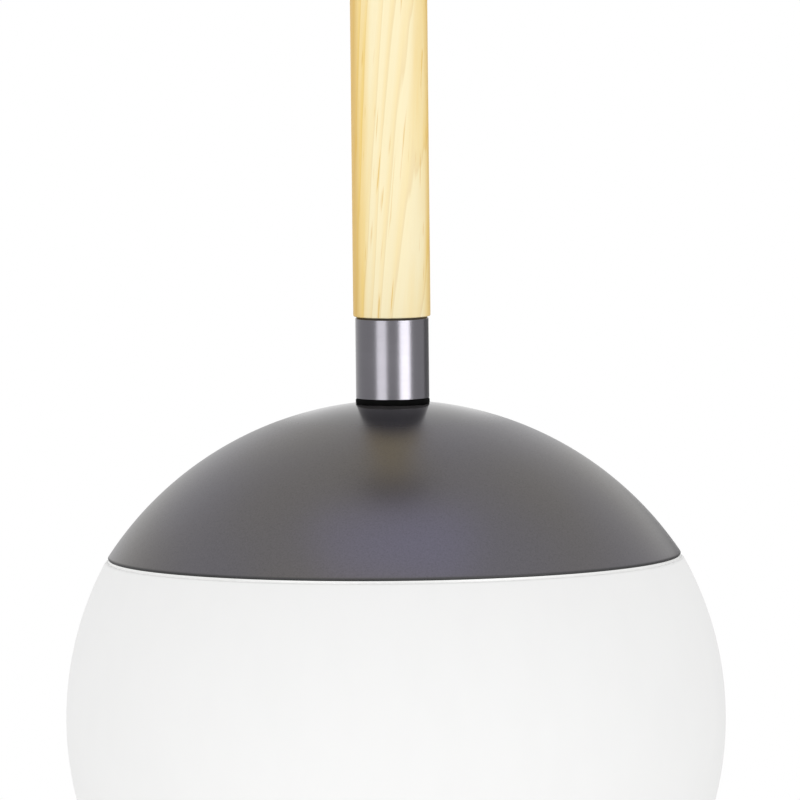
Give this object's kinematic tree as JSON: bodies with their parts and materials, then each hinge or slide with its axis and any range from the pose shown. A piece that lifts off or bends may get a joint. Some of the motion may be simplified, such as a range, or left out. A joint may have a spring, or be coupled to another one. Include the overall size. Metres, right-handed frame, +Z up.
{
  "type": "pendant lamp",
  "caption": "Pendant lamp with an opal glass globe under a dark metal cap, hung on a wooden rod between metal ferrules from a ceiling canopy with a ball swivel.",
  "frame": {"origin": "on the ceiling, in the middle of the bracket's top face, between the two ceiling slots", "axes": "+Z up into the ceiling, along the hanging rod; +X along the bracket strap"},
  "size_m": [0.2, 0.2, 0.5565],
  "materials": {
    "dark_paint": "satin, finely grained",
    "gunmetal": "polished",
    "zinc_steel": "zinc plated",
    "rod_wood": "oiled, pale",
    "opal_glass": "satin opal",
    "clear_silicone": "translucent",
    "black_rubber": "matt",
    "white_enamel": "gloss",
    "white_plastic": "satin",
    "black_plastic": "satin",
    "porcelain": "glazed",
    "brass": "pressed",
    "nickel": "rolled",
    "frosted_plastic": "frosted",
    "brown_insulation": "satin",
    "blue_insulation": "satin"
  },
  "bodies": {
    "ceiling": {"ceiling_bracket": "zinc_steel", "canopy": "dark_paint", "canopy_screws": "gunmetal", "terminal_block": "white_plastic", "terminal_screws": "zinc_steel", "earth_screw": "brass"},
    "liner": {"swivel_liner": "white_plastic"},
    "pendant": {"swivel_ball": "gunmetal", "earth_tag": "brass", "upper_nut": "zinc_steel", "neck_sleeve": "gunmetal", "carrier_tube": "zinc_steel", "upper_ferrule": "gunmetal", "wooden_rod": "rod_wood", "lower_ferrule": "gunmetal", "rubber_washer": "black_rubber", "cap": "dark_paint", "gallery": "white_enamel", "clamp_washer": "zinc_steel", "lower_nut": "zinc_steel", "lampholder_cap": "black_plastic", "lampholder_shell": "black_plastic", "lampholder_insert": "porcelain", "screw_sleeve": "brass", "centre_contact": "brass", "live_lead": "brown_insulation", "neutral_lead": "blue_insulation"},
    "seal": {"globe_seal": "clear_silicone"},
    "globe": {"globe": "opal_glass"},
    "bulb_tip": {"bulb_contact": "nickel"},
    "bulb": {"bulb_insulator": "black_plastic", "bulb_cap": "nickel", "bulb_body": "white_plastic", "bulb_diffuser": "frosted_plastic"}
  },
  "joints": [
    {"name": "swing_front_back", "type": "hinge", "parent": "ceiling", "child": "liner", "pos_m": [0, 0, -0.0374], "axis": [1, 0, 0], "range_deg": [-20, 20]},
    {"name": "swing_left_right", "type": "hinge", "parent": "liner", "child": "pendant", "pos_m": [0, 0, -0.0374], "axis": [0, 1, 0], "range_deg": [-20, 20]},
    {"name": "globe_lower", "type": "slide", "parent": "pendant", "child": "seal", "axis": [0, 0, -1], "range_m": [0, 0.01201]},
    {"name": "globe_turn", "type": "hinge", "parent": "seal", "child": "globe", "pos_m": [0, 0, -0.4565], "axis": [0, 0, -1], "range_deg": [0, 540]},
    {"name": "bulb_lower", "type": "slide", "parent": "pendant", "child": "bulb_tip", "axis": [0, 0, -1], "range_m": [0, 0.02179]},
    {"name": "bulb_turn", "type": "hinge", "parent": "bulb_tip", "child": "bulb", "pos_m": [0, 0, -0.4565], "axis": [0, 0, -1], "range_deg": [0, 2160]}
  ],
  "couplings": [
    {"joint": "globe_lower", "follows": "globe_turn", "m_per_rad": 0.0012732},
    {"joint": "bulb_lower", "follows": "bulb_turn", "m_per_rad": 0.00057757}
  ]
}
